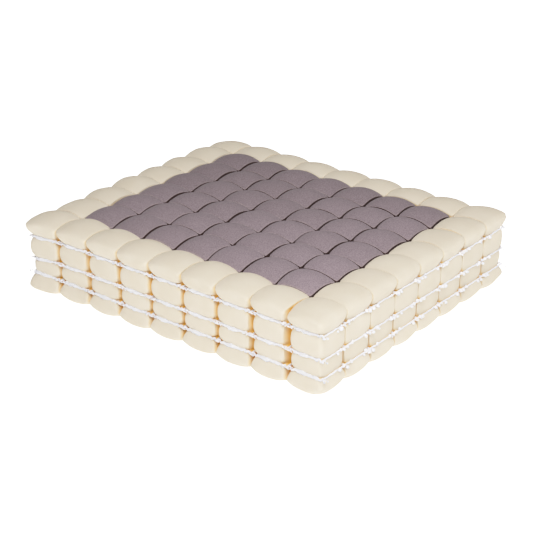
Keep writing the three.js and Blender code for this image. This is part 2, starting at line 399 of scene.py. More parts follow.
def outer_drop(block, x_sign, y_sign):
    """How much lower a corner on the outside of the cushion lies."""
    sides = ("left" if x_sign < 0 else "right", "front" if y_sign < 0 else "back")
    return max(SIDES[side].rim_drop if block.free[side] else 0 for side in sides)


CORNERS = [(x_sign, y_sign) for x_sign in (-1, 1) for y_sign in (-1, 1)]


def roof_height(block, u, v):
    """The top of a block: its corners, the arches between them and its unevenness."""
    arch = {side: SIDES[side].rim_arch if block.free[side] else RIM_ARCH for side in SIDES}
    if not block.free["left"]:
        beside_ring = block.foam == "cream" and "left" in block.grey_sides
        arch["left"] -= RING_LEFT_STEP if beside_ring else LEFT_STEP[block.foam]
    arches = blended(arch["front"], arch["back"], (v + 1) / 2) * (1 - u**2)
    arches = arches + blended(arch["left"], arch["right"], (u + 1) / 2) * (1 - v**2)
    dome = block.crown * (1 - u**2) * (1 - v**2) - block.sunk * (1 - v**2)
    lean = block.lean[0] * u * (1 - v**2) + block.lean[1] * v * (1 - u**2)
    heights = {}
    for corner in CORNERS:
        rim = TOP_RIM + inner_rise(block, *corner) - outer_drop(block, *corner)
        heights[corner] = rim - block.low_corner.get(corner, 0)
    return corner_blend(u, v, heights) + arches + dome + lean


def floor_height(block, u, v):
    """The underside of a block. The floor keeps it from bulging below zero."""
    heights = {corner: BOTTOM_RIM + BOTTOM_SHARE * outer_drop(block, *corner) for corner in CORNERS}
    bulge = corner_blend(u, v, heights) - BOTTOM_ARCH * (2 - u**2 - v**2)
    return (bulge + np.sqrt(bulge**2 + FLOOR_SOFTNESS**2)) / 2


print("a block of the core stands about", in_mm(TOP_RIM + CORE_RISE + 2 * RIM_ARCH), "mm high")


# %% [markdown]
# Hand lacing leaves the four outer corners uneven. The left front one is drawn out and hangs a little, with
# the tier above its lowest net squeezed. The right back one stands a little high, the left back one hangs at
# the top, and the right front one is raised underneath. One smooth movement does this to foam and nets alike.
# For each corner a table says, height by height, how far points move out and down, and it fades within about
# a block.

# %% Draw out the corners
Draw = namedtuple("Draw", "height out down")
CORNER_DRAWS = {
    (-1, -1): [
        Draw(9, 3.2, 2.2), Draw(23, 2.2, -1.0), Draw(34, 0.8, 1.0), Draw(45.5, 1.4, 3.4),
        Draw(60, 3.2, 2.8), Draw(74, 2.4, 2.0), Draw(92, 3.2, 4.0),
    ],
    (1, 1): [Draw(9, 2.0, -3.0), Draw(45.5, 2.2, -2.2), Draw(92, 2.0, -2.2)],
    (-1, 1): [Draw(74, 0, 0), Draw(92, 0.5, 4.0)],
    (1, -1): [Draw(9, 0.8, -2.4), Draw(20, 1.0, -0.4), Draw(45.5, 0.2, 0)],
}
CORNER_REACH = 36 * MM
FLOOR_HOLD = 5 * MM


def drawn(points):
    """Moves points with the corners of the cushion."""
    moved = points.copy()
    for (x_sign, y_sign), draws in CORNER_DRAWS.items():
        heights, outs, downs = np.array(draws).T * MM
        out = np.interp(points[:, 2], heights, outs)
        down = np.interp(points[:, 2], heights, downs)
        from_x = points[:, 0] - x_sign * COLUMNS * HALF_X
        from_y = points[:, 1] - y_sign * ROWS * HALF_Y
        share = np.exp(-(from_x**2 + from_y**2) / CORNER_REACH**2)
        on_floor = np.clip(points[:, 2] / FLOOR_HOLD, 0, 1)
        moved += np.stack([x_sign * out * share, y_sign * out * share, -down * share * on_floor], axis=1)
    return moved


left_front = np.array([[-COLUMNS * HALF_X, -ROWS * HALF_Y, TOP_RIM]])
print("the top of the left front corner moves by", in_mm(drawn(left_front) - left_front), "mm")


# %% [markdown]
# Now the parts come together: round the edges, find the inset of all four sides at each point, and stretch
# the block between them and between its underside and its dome. Foam that is held by cords is never quite
# smooth, so the outer faces also get soft lumps, which fade towards the nets.

# %% Shape one block
FACE_LUMP = 0.35 * MM
LUMP_FADE = 3
Wave = namedtuple("Wave", "along up share")
WAVES = [Wave(2.2, 11 * MM, 1), Wave(4.1, -7 * MM, 1), Wave(6.3, 5 * MM, 0.6)]


def lumps(block, along, up):
    """Soft unevenness of a free face, from a few waves."""
    waves = [
        wave.share * np.sin(wave.along * along + up / wave.up + phase)
        for wave, phase in zip(WAVES, block.phase)
    ]
    return FACE_LUMP * sum(waves) / 2


def side_inset(block, side, along, laced, up):
    if not block.free[side]:
        return meeting_inset(block, side, along, laced)
    return free_inset(side, along, laced) + lumps(block, along, up) * (1 - laced.pull**LUMP_FADE)


def shaped(block, rest):
    """The points of a laced block, in their place in the cushion."""
    across, back, up = rounded(rest, block)
    u, v = across / HALF_X, back / HALF_Y
    laced = lacing(up)
    left = -HALF_X + side_inset(block, "left", v, laced, up)
    right = HALF_X - side_inset(block, "right", v, laced, up)
    front = -HALF_Y + side_inset(block, "front", u, laced, up)
    behind = HALF_Y - side_inset(block, "back", u, laced, up)
    x = blended(left, right, (u + 1) / 2)
    y = blended(front, behind, (v + 1) / 2)
    low, high = STRETCH_ENDS[1], STRETCH_ENDS[-2]
    lower = blended(floor_height(block, u, v), low, up / low)
    upper = blended(high, roof_height(block, u, v), (up - high) / (TOP - high))
    z = np.where(up < low, lower, np.where(up > high, upper, up))
    middle_x, middle_y = cell_middle(block.column, block.row)
    return drawn(np.stack([x + middle_x, y + middle_y, z], axis=1))


# %% [markdown]
# The walls of a seam turn from cream to amber as they go in, and so do the grooves beside the cords and the
# holes beside the knots, because light that bounces between cream walls loses its blue. This bounced light
# and shade is painted into the colour. On the grey core the cut rims catch the light and the slits between
# them are dark, so a highlight is painted along the rims and shade into the slits. Each point keeps how deep
# it lies and how near it is to a cut rim, as attributes that the material reads.

# %% Mark the seams, the grooves and the rims
SEAM_SHADE_DEPTH = 7.0 * MM
RIM_SHADE_DEPTH = {"cream": 14.0 * MM, "grey": 4.0 * MM}
KNOT_SHADE_REACH = 6.0 * MM
KNOT_HOLE_REACH = 4.0 * MM
KNOT_SHADE = 0.5
GROOVE_SHADE = 0.4
GROOVE_SHADE_WIDTH = 1.6
HIGHLIGHT_WIDTH = 1.5 * MM
ON_WALL = 0.1 * MM


# This depth says where shade is painted: warm to amber on the cream, nearly black in the grey slits.
def seam_depth(block, rest):
    """0 on the open faces of a block, 1 where its wall lies deep in a seam."""
    up = rest[:, 2]
    laced = lacing(up)
    from_side = {side: HALVES[axis] - sign * rest[:, axis] for side, (axis, sign) in AXES.items()}
    near_net = np.clip(1 - laced.from_net / KNOT_SHADE_REACH, 0, 1)
    depth = np.zeros(len(rest))
    for side, from_wall in from_side.items():
        on_wall = from_wall < ON_WALL
        if block.free[side]:
            groove = GROOVE_SHADE * np.clip(GROOVE_SHADE_WIDTH - laced.from_net / SIDES[side].groove, 0, 1)
            from_seam = np.min([from_side[end] for end in ends_of(side) if not block.free[end]], axis=0)
            hole = near_net * np.exp(-((from_seam / KNOT_HOLE_REACH) ** 2))
            depth = np.maximum(depth, on_wall * np.maximum(groove, hole))
            continue
        way_in = np.minimum(TOP - up, up) * block.slit[side] / RIM_SHADE_DEPTH[block.foam]
        for end in ends_of(side):
            if block.free[end]:
                shade_depth = SEAM_SHADE_DEPTH * max(1, block.opening[side])
                way_in = np.minimum(way_in, from_side[end] / shade_depth + KNOT_SHADE * near_net)
        depth = np.maximum(depth, on_wall * np.clip(way_in, 0, 1))
    return depth


# The grey material paints a highlight along these cut rims, where they catch the light.
def painted_highlight(rest):
    """1 on the cut edges of the top and 0 away from them."""
    across, back, up = rest.T
    from_side = np.minimum(HALF_X - np.abs(across), HALF_Y - np.abs(back))
    return np.clip(1 - np.hypot(from_side, TOP - up) / HIGHLIGHT_WIDTH, 0, 1)


rest = rest_points(plain_blocks["grey"])
print("points of a grey block on its cut rims", int((painted_highlight(rest) > 0).sum()))


# %% [markdown]
# Foam that was cut and laced by hand is never quite even. Each block draws its own small differences from a
# generator with a fixed seed, so every run makes the same cushion. A few are set one by one. The last seam
# of the front gapes, and so does the first of the right above its lowest net. The slits behind the blocks
# are wide in the right third and tight behind the front ring. One block of the left ring has sunk, and the
# right front block has a low corner. Painted light makes the tone of the core grow lighter towards it.

# %% Describe each block
chance = random.Random(4)
OPENING_RANGE = (0.6, 1.3)
SLIT_RANGE = (0.5, 1.5)
LEAN_RANGE = (-0.7, 0.7)
WIDE_SEAM = 1.6
WIDE_SLIT = 5
WIDE_SLIT_COLUMN = 6
WIDE_BACK_SLIT = 3.0
CLOSE_SLIT = 0.4
RING_SLIT = 1.1
WIDE_LOW_TIER = 4
CROWN_UNEVENNESS = 0.7 * MM
SUNK_BLOCKS = {(1, 2): 2.8 * MM}
LOW_CORNERS = {(9, 1): {(-1, -1): 4.0 * MM}}
TONE_CHANCE = 0.15


def is_cream(column, row):
    return column in (0, COLUMNS - 1) or row in (0, ROWS - 1)


def grey_neighbours(column, row):
    """The sides on which a block meets a grey one."""
    steps = {"left": (-1, 0), "right": (1, 0), "front": (0, -1), "back": (0, 1)}
    places = {side: (column + across, row + back) for side, (across, back) in steps.items()}
    return [side for side, (x, y) in places.items() if 0 < x < COLUMNS - 1 and 0 < y < ROWS - 1]


def describe(column, row):
    """What makes this block differ from the next."""
    free = {"left": column == 0, "right": column == COLUMNS - 1, "front": row == 0, "back": row == ROWS - 1}
    block = SimpleNamespace(column=column, row=row, free=free)
    block.foam = "cream" if is_cream(column, row) else "grey"
    block.grey_sides = grey_neighbours(column, row)
    block.opening = {side: chance.uniform(*OPENING_RANGE) for side in free}
    block.slit = {side: chance.uniform(*SLIT_RANGE) for side in free}
    if row == 0 and column >= COLUMNS - 2:
        seam = "right" if column == COLUMNS - 2 else "left"
        block.opening[seam] = WIDE_SEAM
        block.slit[seam] = WIDE_SLIT
    if column >= WIDE_SLIT_COLUMN:
        block.slit["front"] = block.slit["back"] = WIDE_BACK_SLIT
    if row <= 1:
        block.slit["back" if row == 0 else "front"] = CLOSE_SLIT
    if column >= COLUMNS - 2 and row > 0:
        block.slit["right" if column == COLUMNS - 2 else "left"] = RING_SLIT
    block.low_tier = {side: 1 for side in free}
    if column == COLUMNS - 1 and row <= 1:
        block.low_tier["back" if row == 0 else "front"] = WIDE_LOW_TIER / LOW_TIER_OPENING["right"]
    block.sunk = SUNK_BLOCKS.get((column + 1, row + 1), 0)
    block.low_corner = LOW_CORNERS.get((column + 1, row + 1), {})
    block.crown = CROWN_UNEVENNESS * math.sin(2.4 * column + 1.3) * math.cos(1.9 * row + 0.4)
    block.lean = [chance.uniform(*LEAN_RANGE) * MM for _ in range(2)]
    block.phase = [chance.uniform(0, 2 * math.pi) for _ in range(3)]
    # Painted light: the tone grows lighter towards the front right, where the light falls stronger, and only a
    # small random share is the foam's own tone.
    painted_light_to_front_right = (column / (COLUMNS - 1) + 1 - row / (ROWS - 1)) / 2
    block.tone = blended(painted_light_to_front_right, chance.random(), TONE_CHANCE)
    return block


blocks = [describe(column, row) for row in range(ROWS) for column in range(COLUMNS)]
print("the widest front seam opens by", in_mm(2 * WIDE_SEAM * SIDES["front"].opening), "mm")

# %% [markdown]
# A finished block is a copy of its plain block with every point moved to its laced place. Modelling all 72
# by hand would invite faults, and an array of one block would repeat the same lumps. Each stands in for its
# solid: a cream one for the solid of its own cell, a grey one for its part of the row.

# %% Build the blocks
def keep_attribute(mesh, name, values):
    layer = mesh.attributes.new(name, "FLOAT", "POINT")
    layer.data.foreach_set("value", np.asarray(values, dtype=np.float32))


def move_points(mesh, points):
    """Gives a mesh its final points and smooth faces."""
    mesh.vertices.foreach_set("co", points.ravel())
    mesh.polygons.foreach_set("use_smooth", np.ones(len(mesh.polygons), dtype=bool))
    mesh.update()


def foam_block(block):
    """One finished foam block as a new object."""
    rest = rest_points(plain_blocks[block.foam])
    mesh = plain_blocks[block.foam].copy()
    mesh.name = f"{block.foam}_foam_{block.column + 1}_{block.row + 1}"
    move_points(mesh, shaped(block, rest))
    keep_attribute(mesh, "seam_depth", seam_depth(block, rest))
    keep_attribute(mesh, "painted_highlight", painted_highlight(rest))
    keep_attribute(mesh, "tone", np.full(len(rest), block.tone))
    return in_scene(mesh)


def node_of(block):
    """The solid that a finished block stands for."""
    if block.foam == "cream":
        return f"cream_block_{block.column + 1}_{block.row + 1}"
    return f"grey_row_{block.row + 1}"


foam_pieces = {"cream": [], "grey": []}
for block in blocks:
    piece = foam_block(block)
    foam_pieces[block.foam].append(piece)
    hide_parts(node_of(block))
    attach(piece, "root")
print("foam blocks", {foam: len(pieces) for foam, pieces in foam_pieces.items()})

# %% [markdown]
# Each net is knotted from white cord that looks like cotton. The cords that run across are thick, loosely
# twisted yarn, and the ones that run back are thinner. One smooth tube would look like wire. Here a cord is
# three plies that wind round each other, each a curve with a round bevel and a radius that swells and thins
# along the way, turned into a mesh at the end.

# %% Wind plies into a cord
PLIES = 3
PLY_SPREAD = 0.38
PLY_THICKNESS = 0.68
PLY_UNEVENNESS = 0.15
PLY_PACE = 0.9
TWIST_LENGTH = 9 * MM
CORD_STEP = 1.5 * MM
TUBE_ROUNDNESS = 1
UP = np.array((0, 0, 1))
WANDERING = [(1, 1.7), (2.3, 4.1), (4.9, 2.9)]


def uneven(place, seed):
    """A smooth value that wanders between -1 and 1."""
    return sum(np.sin(pace * place + shift * seed) for pace, shift in WANDERING) / len(WANDERING)


def plies(line, radius, seed):
    """The plies round a cord's middle line, as strands of (points, radii)."""
    steps = np.arange(len(line))
    ahead = (line[-1] - line[0]) / np.linalg.norm(line[-1] - line[0])
    side = np.cross(ahead, UP)
    strands = []
    for ply in range(PLIES):
        angle = 2 * math.pi * (steps * CORD_STEP / TWIST_LENGTH + ply / PLIES) + seed
        spread = (PLY_SPREAD * radius)[:, None]
        outward = np.cos(angle)[:, None] * side + np.sin(angle)[:, None] * UP
        thickness = 1 + PLY_UNEVENNESS * uneven(steps * PLY_PACE, seed + ply)
        strands.append((line + spread * outward, PLY_THICKNESS * radius * thickness))
    return strands


def tubes(strands):
    """A mesh of closed round tubes along strands of (points, radii)."""
    curve = bpy.data.curves.new("strands", "CURVE")
    curve.dimensions = "3D"
    curve.bevel_depth = 1
    curve.bevel_resolution = TUBE_ROUNDNESS
    curve.use_fill_caps = True
    for points, radii in strands:
        spline = curve.splines.new("POLY")
        spline.points.add(len(points) - 1)
        spline.points.foreach_set("co", np.column_stack([points, np.ones(len(points))]).ravel())
        spline.points.foreach_set("radius", np.broadcast_to(radii, len(points)).astype(np.float32))
    holder = bpy.data.objects.new("strands", curve)
    mesh = bpy.data.meshes.new_from_object(holder)
    bpy.data.objects.remove(holder)
    bpy.data.curves.remove(curve)
    return mesh


print(PLIES, "plies wind round each other once in", in_mm(TWIST_LENGTH), "mm")


# %% [markdown]
# The cord round the edge of a net is the one that shows. Along the front and the back it is fluffy yarn: it
# puffs out over the first half of a block, is thin and lumpy beside the knots, and ends on the right in a
# short tail. Along the left and the right it is thinner lace. Both stray a little, in long soft waves. The
# cords inside the cushion hardly show, so one plain tube each is enough.

# %% Lay out the cords of a net
def net_lines(count, pitch, first, last):
    """Where cords run: along both edges, and between every two rows of blocks."""
    half = count * pitch / 2
    inside = [-half + k * pitch for k in range(1, count)]
    return [-half + SIDES[first].cord_inset, *inside, half - SIDES[last].cord_inset]


LINES_X = net_lines(COLUMNS, PITCH_X, "left", "right")
LINES_Y = net_lines(ROWS, PITCH_Y, "front", "back")
YARN_THIN, YARN_FULL, YARN_PUFF = 0.7 * MM, 1.9 * MM, 1.0 * MM
PUFF_PLACE, PUFF_SPREAD = 0.42, 0.2
THIN_SPREAD = 0.17
LACE_RADIUS = 1.05 * MM
INNER_CORD = 1.3 * MM
INNER_CORD_POINTS = 40
TAILS = {"front": 5 * MM, "back": 2 * MM}
TAIL_RADIUS = 1.5 * MM
TAIL_START, TAIL_TIP = 1.02, 0.03
KNOT_WIGGLE = 2.0 * MM
WIGGLE_PACE = 45
Stray = namedtuple("Stray", "side side_length up up_length thickness thickness_length")
YARN_STRAY = Stray(0.4 * MM, 9 * MM, 0.8 * MM, 7 * MM, 0.28, 2.6 * MM)
LACE_STRAY = Stray(0.3 * MM, 9 * MM, 0.5 * MM, 8 * MM, 0.2, 3 * MM)


def along_line(start, end):
    """Even steps from one point to another, as (points, distances)."""
    start, end = np.array(start), np.array(end)
    steps = round(np.linalg.norm(end - start) / CORD_STEP)
    share = np.linspace(0, 1, steps + 1)
    return start + (end - start) * share[:, None], share * np.linalg.norm(end - start)


def strayed(line, sideways, place, stray, seed):
    """Lets a line stray sideways and up and down, and returns how its thickness varies."""
    line[:, sideways] += stray.side * uneven(place / stray.side_length, seed)
    line[:, 2] += stray.up * uneven(place / stray.up_length, seed + 3)
    return 1 + stray.thickness * uneven(place / stray.thickness_length, seed + 5)


def yarn_edge(side, height, seed):
    """The fluffy yarn along the front or the back, with a tail at its right end."""
    y = LINES_Y[0] if side == "front" else LINES_Y[-1]
    tail = TAILS[side]
    line, _ = along_line((LINES_X[0], y, height), (LINES_X[-1] + tail, y, height))
    x = line[:, 0]
    share = (x / PITCH_X + COLUMNS / 2) % 1
    puff = YARN_PUFF * np.exp(-(((share - PUFF_PLACE) / PUFF_SPREAD) ** 2))
    from_seam = (share + 0.5) % 1 - 0.5
    near_knot = np.exp(-((from_seam / THIN_SPREAD) ** 2))
    thickness = strayed(line, 1, x, YARN_STRAY, seed)
    line[:, 2] += KNOT_WIGGLE * near_knot * np.sin(from_seam * WIGGLE_PACE + seed)
    radius = blended(YARN_FULL + puff, YARN_THIN, near_knot) * thickness
    past_end = x - LINES_X[-1]
    taper = np.sqrt(np.clip(TAIL_START - past_end / tail, TAIL_TIP, 1))
    return plies(line, np.where(past_end > 0, TAIL_RADIUS * taper, radius), seed)


def lace_edge(x, height, seed):
    """The thinner lace along the left or the right."""
    line, place = along_line((x, LINES_Y[0], height), (x, LINES_Y[-1], height))
    return plies(line, LACE_RADIUS * strayed(line, 0, place, LACE_STRAY, seed), seed)


def inner_cords(height):
    """The cords between the blocks, as single tubes."""
    back = [((x, LINES_Y[0], height), (x, LINES_Y[-1], height)) for x in LINES_X[1:-1]]
    across = [((LINES_X[0], y, height), (LINES_X[-1], y, height)) for y in LINES_Y[1:-1]]
    return [(np.linspace(start, end, INNER_CORD_POINTS), INNER_CORD) for start, end in back + across]


print(len(LINES_Y), "cords across of", in_mm(LINES_X[-1] - LINES_X[0]), "mm")
print(len(LINES_X), "cords from front to back of", in_mm(LINES_Y[-1] - LINES_Y[0]), "mm")


# %% [markdown]
# At each crossing the cords are knotted. From a step away a knot is a row of four uneven beads along the
# cord, with two or three small ones above and below it. On the lace they are twice as big as on the yarn. A
# bead is a small ball of wound cord, so a rough sphere of few faces will do. A true knot, wound as one long
# curve, would take far more faces and look the same.

# %% Tie the knots
KnotKind = namedtuple("KnotKind", "small size spread rise")
YARN_KNOT = KnotKind((2, 3), 1.1 * MM, 13 * MM, 1.6 * MM)
LACE_KNOT = KnotKind((2, 2, 3, 3), 2.1 * MM, 21 * MM, 2.0 * MM)
Knot = namedtuple("Knot", "place ahead out kind small")
BEAD_STEPS = (-0.5, -0.15, 0.15, 0.5)
BEAD_RISE = (-1.2, 1)
BEAD_SIZE = (0.8, 1.1)
SMALL_BEAD_STEP = (-0.8, 0.8)
SMALL_BEAD_SIZE = 0.65
BEAD_SEGMENTS, BEAD_RINGS = 8, 6
BEAD_STRETCH = ((0.85, 1.25), (0.85, 1.1), (0.8, 1.1))


def edge_knots(height, dice):
    """The knots at the crossings on the edge of a net."""
    knots = []
    for side, y in ((-1, LINES_Y[0]), (1, LINES_Y[-1])):
        for x in LINES_X:
            small = dice.choice(YARN_KNOT.small)
            knots.append(Knot((x, y, height), (1, 0, 0), (0, side, 0), YARN_KNOT, small))
    for side, x in ((-1, LINES_X[0]), (1, LINES_X[-1])):
        for y in LINES_Y[1:-1]:
            small = dice.choice(LACE_KNOT.small)
            knots.append(Knot((x, y, height), (0, 1, 0), (side, 0, 0), LACE_KNOT, small))
    return knots


def add_bead(shape, place, radius, dice):
    """One rough ball, turned and stretched by chance."""
    made = bmesh.ops.create_uvsphere(shape, u_segments=BEAD_SEGMENTS, v_segments=BEAD_RINGS, radius=radius)
    turn = Matrix.Rotation(dice.uniform(0, math.pi), 4, Vector((dice.random(), dice.random(), 1)))
    stretch = Matrix.Diagonal((*(dice.uniform(*sizes) for sizes in BEAD_STRETCH), 1))
    bmesh.ops.transform(shape, matrix=Matrix.Translation(place) @ turn @ stretch, verts=made["verts"])


def add_beads(shape, knot, dice):
    """The row of beads of a knot, and its small ones."""
    row = [(step, dice.uniform(*BEAD_RISE), dice.uniform(*BEAD_SIZE)) for step in BEAD_STEPS]
    row += [
        (dice.uniform(*SMALL_BEAD_STEP), dice.choice((-1, 1)), SMALL_BEAD_SIZE)
        for _ in range(knot.small)
    ]
    for step, rise, size in row:
        along = knot.kind.spread * step + dice.uniform(-1, 1) * MM
        place = Vector(knot.place) + Vector(knot.ahead) * along
        place += Vector(knot.out) * dice.uniform(0.5, 1.0) * knot.kind.size
        place.z += knot.kind.rise * (rise + dice.uniform(-0.4, 0.4))
        add_bead(shape, place, knot.kind.size * size * dice.uniform(0.85, 1.15), dice)


print("knots on the edge of a net", len(edge_knots(NETS["low"], random.Random(0))))

# %% [markdown]
# At the yarn knots between the corners two thin strands also run over each other. Each follows a wave up and
# down along the cord, the second one the other way round, and lifts off the foam in the middle. A curve along
# a few points of these waves is enough.

# %% Cross two strands at a knot
STRAND_POINTS = 13
STRAND_REACH = 7 * MM
STRAND_WAVE, STRAND_WAVES = 1.9 * MM, 1.4
STRAND_OUT, STRAND_LIFT = 0.8 * MM, 0.9 * MM
STRAND_RADIUS = 0.6 * MM
STRAND_THICKNESS = (0.85, 1.2)


def crossed_strands(knot, dice):
    """Two thin strands that cross each other at a knot."""
    share = np.linspace(-1, 1, STRAND_POINTS)[:, None]
    line = np.array(knot.place) + np.array(knot.ahead) * share * STRAND_REACH
    strands = []
    for sign in (-1, 1):
        phase = dice.uniform(-0.5, 0.5)
        wave = sign * STRAND_WAVE * np.sin(share * math.pi * STRAND_WAVES + phase)
        lift = STRAND_OUT + STRAND_LIFT * np.cos(share * math.pi * 2 + phase)
        points = line + UP * wave + np.array(knot.out) * lift
        strands.append((points, STRAND_RADIUS * dice.uniform(*STRAND_THICKNESS)))
    return strands


# %% [markdown]
# A net is one piece of work, so its cords, beads and strands are joined in one mesh. It is made level, and
# then it follows the drawn-out corners with the same movement as the foam. Each net has its own seed, so no
# two have the same knots.

# %% Make the three nets
MERGE_WITHIN = 0.01 * MM
FIRST_SEED, SEED_STEP = 11, 10


def finished_net(name, height, seed):
    """One net as a new object."""
    dice = random.Random(seed)
    strands = yarn_edge("front", height, seed) + yarn_edge("back", height, seed + 1)
    strands += lace_edge(LINES_X[0], height, seed + 2) + lace_edge(LINES_X[-1], height, seed + 3)
    strands += inner_cords(height)
    shape = bmesh.new()
    for knot in edge_knots(height, dice):
        add_beads(shape, knot, dice)
        if knot.kind is YARN_KNOT and LINES_X[0] < knot.place[0] < LINES_X[-1]:
            strands += crossed_strands(knot, dice)
    tube_mesh = tubes(strands)
    shape.from_mesh(tube_mesh)
    bpy.data.meshes.remove(tube_mesh)
    bmesh.ops.remove_doubles(shape, verts=shape.verts, dist=MERGE_WITHIN)
    mesh = mesh_from(shape, f"{name}_net_yarn")
    move_points(mesh, drawn(points_of(mesh)))
    return in_scene(mesh)


net_pieces = []
for number, (name, height) in enumerate(NETS.items()):
    piece = finished_net(name, height, FIRST_SEED + SEED_STEP * number)
    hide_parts(f"net_{name}")
    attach(piece, "root")
    net_pieces.append(piece)
    print(piece.name, sum(len(face.vertices) - 2 for face in piece.data.polygons), "triangles")

# %% [markdown]
# A material is a small network of nodes. One helper adds a node and sets its values, the next makes a new
# material around Blender's general surface shader, and the others add the few nodes that foam and yarn share.
# Patterns read each piece's own coordinates in metres, so a pore has the same real size everywhere.

# %% Helpers for materials
MIX_SHARE, MIX_FIRST, MIX_SECOND, MIX_RESULT = 0, 6, 7, 2


def add_node(tree, kind, links=None, **values):
    """A new node with some inputs linked and some set."""
    made = tree.nodes.new(kind)
    for key, value in values.items():
        setattr(made, key, value)
    for key, value in (links or {}).items():
        if isinstance(value, bpy.types.NodeSocket):
            tree.links.new(value, made.inputs[key])
        else:
            made.inputs[key].default_value = value
    return made


def new_material(name, roughness, specular, sheen):
    material = bpy.data.materials.new(name)
    material.use_nodes = True
    shader = material.node_tree.nodes["Principled BSDF"]
    shader.inputs["Roughness"].default_value = roughness
    shader.inputs["Specular IOR Level"].default_value = specular
    shader.inputs["Sheen Weight"].default_value = sheen
    return material, material.node_tree, shader


def ramp(tree, factor, stops):
    """A colour ramp with stops of (place, colour)."""
    made = add_node(tree, "ShaderNodeValToRGB", {"Fac": factor})
    elements = made.color_ramp.elements
    while len(elements) < len(stops):
        elements.new(1)
    for element, (place, colour) in zip(elements, stops):
        element.position = place
        element.color = (*colour, 1)
    return made.outputs["Color"]


def mixed(tree, first, second, share=1, blend="MIX"):
    """Two colours mixed, or multiplied where the blend says so."""
    links = {MIX_SHARE: share, MIX_FIRST: first, MIX_SECOND: second}
    return add_node(tree, "ShaderNodeMix", links, data_type="RGBA", blend_type=blend).outputs[MIX_RESULT]


def kept_value(tree, name):
    """A value that each point of a piece keeps as an attribute."""
    return add_node(tree, "ShaderNodeAttribute", attribute_name=name).outputs["Fac"]


def noise(tree, scale, detail):
    """Noise in the piece's own coordinates, with clouds of about 1 / scale metres."""
    place = add_node(tree, "ShaderNodeTexCoord").outputs["Object"]
    links = {"Vector": place, "Scale": scale, "Detail": detail}
    return add_node(tree, "ShaderNodeTexNoise", links).outputs["Fac"]


def roughen(tree, shader, height, strength, distance):
    """Lets a pattern catch the light as if it stood up."""
    links = {"Height": height, "Strength": strength, "Distance": distance}
    bump = add_node(tree, "ShaderNodeBump", links)
    tree.links.new(bump.outputs["Normal"], shader.inputs["Normal"])


# %% [markdown]
# The cream foam is matt, a little cloudy and full of fine pores. Its colour follows the depth in a seam, from
# cream on the open faces to honey and amber inside, which is painted shade and bounced light. Real foam also
# lets light through, so its thin edges beside the grooves and the holes glow faintly. Subsurface scattering
# would be slow and left grain, so a small painted glow that follows the depth takes its place.

# %% Cream foam
CREAM_FACE = (0.847, 0.762, 0.63)
# Painted shade and bounced light, laid on deeper in a seam, a groove or a hole.
PAINTED_SHADE_WARM = (0.86, 0.72, 0.51)
PAINTED_SHADE_HONEY = (0.87, 0.63, 0.32)
PAINTED_SHADE_AMBER = (0.76, 0.45, 0.10)
NO_GLOW = (0, 0, 0)
GROOVE_GLOW = (0.045, 0.027, 0.009)
SEAM_GLOW = (0.03, 0.015, 0.002)
HOLE_GLOW = (0.10, 0.05, 0.006)
CREAM_CLOUDS = [(0.3, (0.97, 0.96, 0.94)), (0.7, (1, 1, 1))]

cream, tree, shader = new_material("cream_foam", roughness=0.95, specular=0.15, sheen=0.1)
depth = kept_value(tree, "seam_depth")
face = ramp(tree, depth, [(0, CREAM_FACE), (0.3, PAINTED_SHADE_WARM), (0.65, PAINTED_SHADE_HONEY), (1, PAINTED_SHADE_AMBER)])
glow = ramp(tree, depth, [(0.15, NO_GLOW), (0.4, GROOVE_GLOW), (0.6, SEAM_GLOW), (1, HOLE_GLOW)])
tree.links.new(glow, shader.inputs["Emission Color"])
shader.inputs["Emission Strength"].default_value = 1
clouds = ramp(tree, noise(tree, scale=45, detail=3), CREAM_CLOUDS)
tree.links.new(mixed(tree, face, clouds, blend="MULTIPLY"), shader.inputs["Base Color"])
roughen(tree, shader, noise(tree, scale=1600, detail=2), strength=0.25, distance=0.4 * MM)
for piece in foam_pieces["cream"]:
    piece.data.materials.append(cream)
print("cream foam on", len(foam_pieces["cream"]), "blocks")

# %% [markdown]
# The grey foam is coarser, with light and dark specks of about a millimetre and finer dark pores. Its cut
# rims get a painted highlight, and each block has its own tone, which also carries painted light that grows
# lighter towards the front right. These patterns multiply one grey, and a last mix paints shade nearly black
# inside a slit.

# %% Grey foam
GREY_FACE = (0.296, 0.237, 0.255)
# A painted highlight along the cut rims.
GREY_PAINTED_HIGHLIGHT = (0.41, 0.335, 0.34)
# Painted shade inside the slits.
GREY_PAINTED_SHADE = (0.06, 0.032, 0.03)
# The tones also carry painted light, lighter towards the front right.
GREY_TONES = [(0, (0.83, 0.825, 0.82)), (1, (1.24, 1.25, 1.30))]
GREY_SPECKS = [(0.32, (0.80, 0.79, 0.80)), (0.68, (1.18, 1.18, 1.18))]
GREY_PORES = [(0.3, (0.85, 0.85, 0.85)), (0.5, (1.05, 1.05, 1.05))]
SLIT_START, SLIT_END = 0.02, 0.3

grey, tree, shader = new_material("grey_foam", roughness=0.95, specular=0.15, sheen=0.1)
specks = noise(tree, scale=800, detail=1)
pores = noise(tree, scale=2200, detail=1)
colour = ramp(tree, kept_value(tree, "painted_highlight"), [(0.35, GREY_FACE), (1, GREY_PAINTED_HIGHLIGHT)])
for value, stops in ((kept_value(tree, "tone"), GREY_TONES), (specks, GREY_SPECKS), (pores, GREY_PORES)):
    colour = mixed(tree, colour, ramp(tree, value, stops), blend="MULTIPLY")
